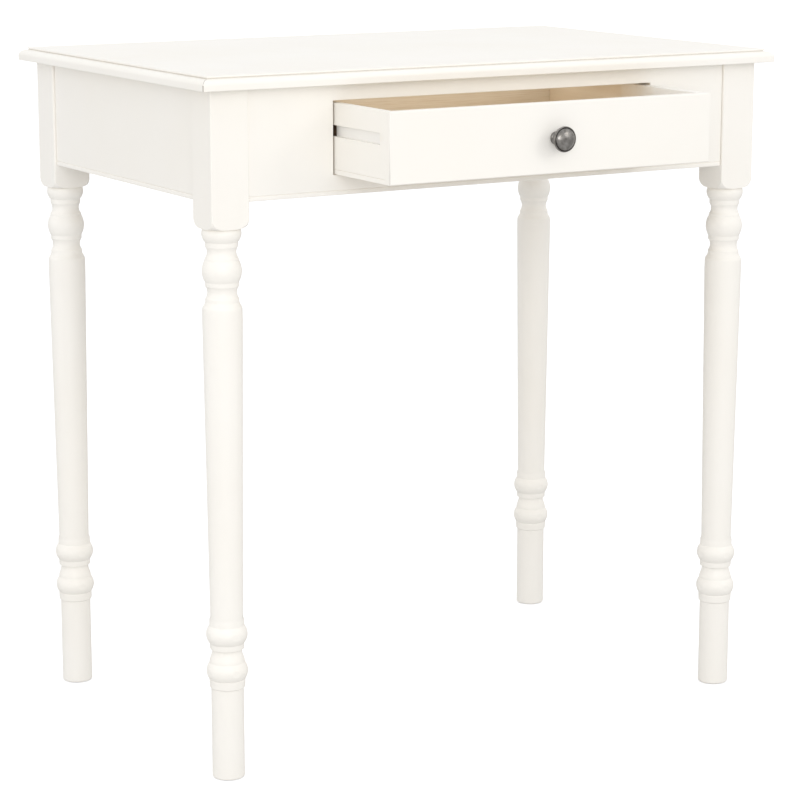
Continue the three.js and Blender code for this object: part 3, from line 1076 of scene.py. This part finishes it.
# ---------------------------------------------------------------- stage, light and camera
AIM = Vector((0.0074, 0.059, 0.3457))
UP = Vector((0, 0, 1))
CAMERA_DISTANCE = 3.1677
CAMERA_AZIMUTH = -30.84
CAMERA_ELEVATION = 11.87
LENS = 119.97
SENSOR = 36
FLOOR = {"radius": 40000, "thickness": 20, "cloud": 2500, "glow": 0.6}
HORIZON = {"level": 0.1, "colour": (1, 1, 1, 1)}
ZENITH = {"level": 1.0, "colour": (0.87, 0.88, 0.9, 1)}
WHITE = (1, 1, 1)
LIGHTS = [  # name, place in metres, width and height in metres, power in watts, colour
    ("key", (1.5, -2.6, 2.0), (0.8, 0.8), 8, (1.0, 0.98, 0.95)),
    ("front_fill", (-1.3, -2.9, 1.2), (1.4, 1.2), 19.5, WHITE),
    ("left_fill", (-3.0, 0.1, 0.85), (1.4, 1.4), 6.8, WHITE),
    ("overhead", (0, 0.3, 3.4), (2.0, 2.0), 5.6, (0.9, 0.96, 1.0)),
]
CASE_BOUNCE = {  # in millimetres and watts
    "gap": 10,  # behind the front apron
    "reach": 200,
    "drop": 3,  # below the top
    "width": 360,
    "power": 0.14,
    "colour": (1.0, 0.95, 0.88),
}


def add_floor():
    """A seamless floor that looks white, and glows so that the desk's shadow on it stays faint.

    The glow is only what is seen: the light that the floor throws on the desk comes from its paint.
    """
    radius = FLOOR["radius"]
    floor = turned("stage_floor", [(radius, -FLOOR["thickness"]), (radius, 0)])
    graph = Graph("look_stage")
    cloud = graph.noise(graph.place(0, 1), FLOOR["cloud"])
    tone = graph.ramp(cloud, [(0.3, (0.61, 0.61, 0.61)), (0.7, (0.63, 0.63, 0.63))])
    seen = graph.tree.nodes.new("ShaderNodeLightPath").outputs["Is Camera Ray"]
    glow = graph.add("Math", {0: seen, 1: FLOOR["glow"]}, operation="MULTIPLY")
    graph.done(Base_Color=tone, Roughness=0.9, Specular_IOR_Level=0.1, Emission_Strength=glow)
    graph.shader.inputs["Emission Color"].default_value = (*WHITE, 1)
    floor.data.materials.append(graph.material)


def add_world():
    """Soft light from all round, a little weaker from overhead."""
    world = bpy.data.worlds.new("studio")
    world.use_nodes = True
    tree = world.node_tree
    bpy.context.scene.world = world
    place = tree.nodes.new("ShaderNodeTexCoord").outputs["Generated"]
    split = tree.nodes.new("ShaderNodeSeparateXYZ")
    tree.links.new(place, split.inputs[0])
    ramp = tree.nodes.new("ShaderNodeValToRGB")
    tree.links.new(split.outputs["Z"], ramp.inputs["Fac"])
    for stop, look in zip(ramp.color_ramp.elements, (HORIZON, ZENITH)):
        stop.position = look["level"]
        stop.color = look["colour"]
    tree.links.new(ramp.outputs["Color"], tree.nodes["Background"].inputs["Color"])


def add_light(name, place, size, power, colour, aim=AIM):
    """A soft panel of light, as wide and high as size says, that the camera doesn't see."""
    light = bpy.data.lights.new(name, "AREA")
    light.shape = "RECTANGLE"
    light.size, light.size_y = size
    light.energy = power
    light.color = colour
    panel = bpy.data.objects.new(name, light)
    panel.location = place
    panel.rotation_euler = (Vector(aim) - Vector(place)).to_track_quat("-Z", "Y").to_euler()
    panel.visible_camera = False
    bpy.context.scene.collection.objects.link(panel)


def add_case_bounce():
    """What the raw wood inside the case throws back and forth, from under the top."""
    apron_back = span("front_apron")[1].y
    reach = CASE_BOUNCE["reach"]
    back = apron_back + CASE_BOUNCE["gap"] + reach / 2
    place = Vector((0, back, FRAME_TOP - CASE_BOUNCE["drop"])) * MM
    size = (CASE_BOUNCE["width"] * MM, reach * MM)
    add_light("case_bounce", place, size, CASE_BOUNCE["power"], CASE_BOUNCE["colour"], place - UP)


def add_lights():
    for light in LIGHTS:
        add_light(*light)
    add_case_bounce()


def add_camera():
    """The photographer's place, found by azimuth, elevation and distance from the aim."""
    data = bpy.data.cameras.new("camera")
    data.sensor_width = SENSOR
    data.lens = LENS
    data.clip_end = 200
    camera = bpy.data.objects.new("camera", data)
    across, up = math.radians(CAMERA_AZIMUTH), math.radians(CAMERA_ELEVATION)
    back = Vector((math.sin(across) * math.cos(up), -math.cos(across) * math.cos(up), math.sin(up)))
    camera.location = AIM + back * CAMERA_DISTANCE
    camera.rotation_euler = (-back).to_track_quat("-Z", "Y").to_euler()
    bpy.context.scene.collection.objects.link(camera)
    bpy.context.scene.camera = camera


add_camera()
add_floor()
add_world()
add_lights()
bpy.context.scene.view_settings.view_transform = "Standard"

add_worktop()
add_legs()
add_glides()
add_aprons()
add_plain_boards()
add_drawer_front()
add_knob()
add_corner_hardware()
add_screws()
